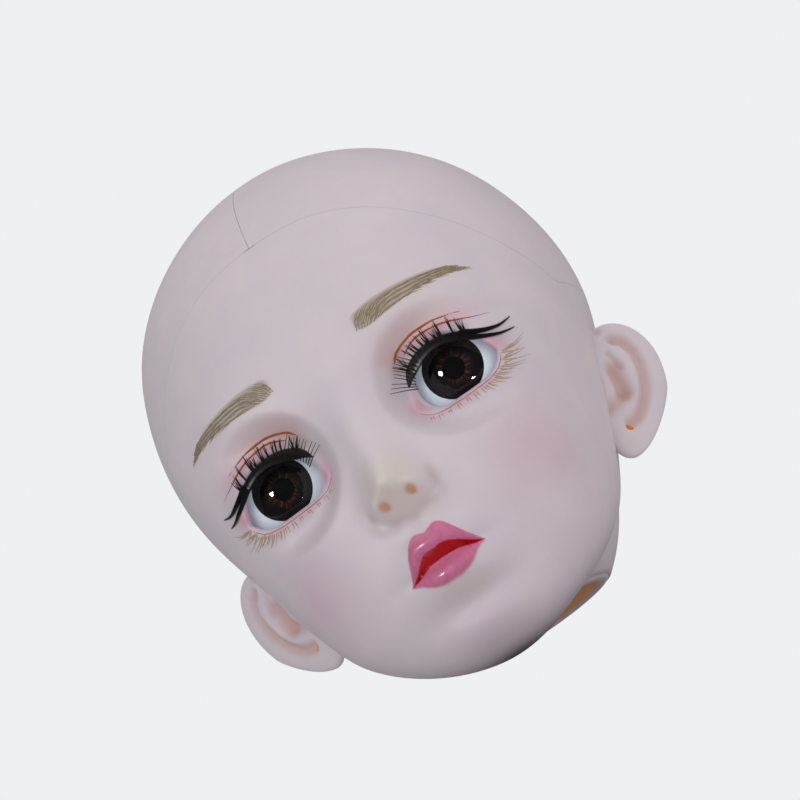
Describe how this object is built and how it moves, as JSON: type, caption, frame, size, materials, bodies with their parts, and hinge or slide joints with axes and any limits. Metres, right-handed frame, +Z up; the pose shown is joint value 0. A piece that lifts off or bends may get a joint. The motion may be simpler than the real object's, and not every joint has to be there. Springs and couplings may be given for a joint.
{
  "type": "doll head",
  "caption": "Hollow ball-jointed doll head with a lift-off crown cap, eyes that turn in putty beds, lash strips and a neck socket with a keyhole.",
  "frame": {"origin": "centre of the neck opening's rim", "axes": "+Z up through the crown, the face looks along -Y, the head's own left is +X"},
  "size_m": [0.0776, 0.0916, 0.0913],
  "materials": {
    "skin": "matt skin-coloured resin",
    "seat": "bare resin",
    "magnet": "nickel plated",
    "putty": "soft putty",
    "eye_white": "glossy acrylic",
    "iris": "printed dark brown",
    "pupil": "black",
    "cornea": "clear acrylic",
    "lash": "black fibre"
  },
  "bodies": {
    "head": {"face_shell": "skin", "neck_seat": "seat", "shell_magnets": "magnet", "left_lash_band": "lash", "left_lash_hairs": "lash", "right_lash_band": "lash", "right_lash_hairs": "lash"},
    "cap": {"cap_left_half": "skin", "cap_right_half": "skin", "cap_magnets": "magnet"},
    "left_eye_bed": {"left_eye_putty": "putty"},
    "left_eye": {"left_eye_white": "eye_white", "left_iris_disc": "iris", "left_pupil_dot": "pupil", "left_cornea": "cornea"},
    "right_eye_bed": {"right_eye_putty": "putty"},
    "right_eye": {"right_eye_white": "eye_white", "right_iris_disc": "iris", "right_pupil_dot": "pupil", "right_cornea": "cornea"}
  },
  "joints": [
    {"name": "cap_lift", "type": "slide", "parent": "head", "child": "cap", "axis": [0, 0.342, 0.9397], "range_m": [0, 0.06]},
    {"name": "left_eye_tilt", "type": "hinge", "parent": "head", "child": "left_eye_bed", "pos_m": [0.0156, -0.0265, 0.0338], "axis": [1, 0, 0], "range_deg": [-10, 10]},
    {"name": "left_eye_turn", "type": "hinge", "parent": "left_eye_bed", "child": "left_eye", "pos_m": [0.0156, -0.0265, 0.0338], "axis": [0, 0, 1], "range_deg": [-12, 12]},
    {"name": "right_eye_tilt", "type": "hinge", "parent": "head", "child": "right_eye_bed", "pos_m": [-0.0156, -0.0265, 0.0338], "axis": [1, 0, 0], "range_deg": [-10, 10]},
    {"name": "right_eye_turn", "type": "hinge", "parent": "right_eye_bed", "child": "right_eye", "pos_m": [-0.0156, -0.0265, 0.0338], "axis": [0, 0, 1], "range_deg": [-12, 12]}
  ]
}
